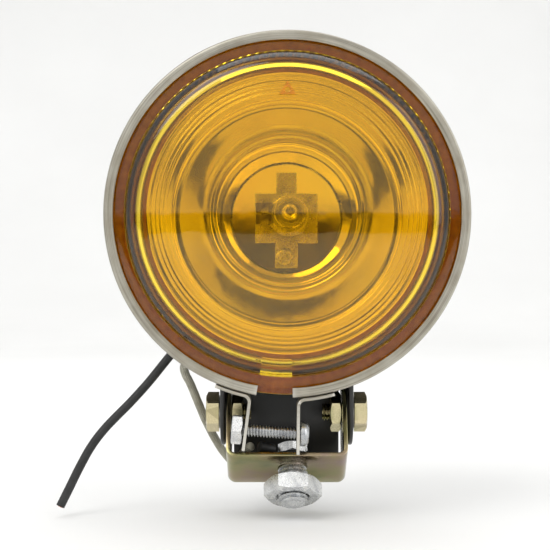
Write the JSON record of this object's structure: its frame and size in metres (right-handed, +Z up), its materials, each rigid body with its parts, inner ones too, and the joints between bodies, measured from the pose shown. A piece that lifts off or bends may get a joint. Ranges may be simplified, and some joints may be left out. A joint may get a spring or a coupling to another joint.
{
  "type": "round fog light",
  "caption": "Round amber fog light in a split clamp band, tilting on a small U-bracket with a threaded stud; black feed lead and pale earth lead.",
  "frame": {"origin": "on the mounting stud's axis, at the outer face of the bracket that seats on the vehicle", "axes": "+Z up, the lamp shines towards -Y, +X to the right seen from the front; the bracket leans 32 degrees forward"},
  "size_m": [0.1387, 0.0747, 0.1595],
  "materials": {
    "amber_glass": "clear amber pressed glass, glossy",
    "clear_glass": "clear bulb glass",
    "band_steel": "satin galvanised strip with draw lines",
    "black_paint": "semi-gloss black paint",
    "bright_reflector": "vacuum-bright reflector",
    "yellow_zinc": "yellow passivated zinc, slightly iridescent",
    "bright_zinc": "bright zinc plate",
    "black_rubber": "matt black rubber",
    "fibre": "pressed black fibre",
    "cork_rubber": "red-brown ribbed gasket",
    "spring_steel": "dark spring steel",
    "tungsten": "dull wire",
    "cream_braid": "cream woven sleeve",
    "black_plastic": "black PVC insulation"
  },
  "bodies": {
    "bracket": {"u_bracket": "yellow_zinc", "mount_stud": "bright_zinc", "stud_pad": "black_rubber", "earth_terminal": "bright_zinc", "terminal_sleeve": "black_plastic", "stud_top_nut": "bright_zinc", "left_pivot_bolt": "yellow_zinc", "left_pivot_nut": "yellow_zinc", "left_friction_disc": "fibre", "left_pivot_washer": "spring_steel", "right_pivot_bolt": "yellow_zinc", "right_pivot_nut": "yellow_zinc", "right_friction_disc": "fibre", "right_pivot_washer": "spring_steel"},
    "head": {"mounting_saddle": "black_paint", "lens": "amber_glass", "lens_gasket": "cork_rubber", "reflector": "bright_reflector", "housing_shell": "black_paint", "lead_grommet": "black_rubber", "bulb_holder": "bright_reflector", "holder_screw": "bright_zinc", "bulb_base": "bright_zinc", "bulb_glass": "clear_glass", "bulb_filament": "tungsten", "bulb_clip": "spring_steel", "bulb_connector": "black_plastic", "inner_lead": "black_plastic", "rim_band": "band_steel", "left_clamp_ear": "band_steel", "right_clamp_ear": "band_steel", "clamp_nut": "bright_zinc", "feed_lead": "black_plastic", "earth_lead": "cream_braid"},
    "mounting_nut": {"mounting_nut": "bright_zinc"},
    "clamp_screw": {"clamp_screw": "bright_zinc"}
  },
  "joints": [
    {"name": "head_tilt", "type": "hinge", "parent": "bracket", "child": "head", "pos_m": [-0.002, 0.01153, 0.01845], "axis": [1, 0, 0], "range_deg": [-42, 0], "deforming": ["earth_lead"]},
    {"name": "mounting_nut_turn", "type": "hinge", "parent": "bracket", "child": "mounting_nut", "pos_m": [0, 0, 0], "axis": [0, 0.5299, 0.848], "continuous": true},
    {"name": "clamp_screw_turn", "type": "hinge", "parent": "head", "child": "clamp_screw", "pos_m": [-0.007, -0.01452, 0.01442], "axis": [0.9976, 0, -0.0698], "continuous": true}
  ]
}
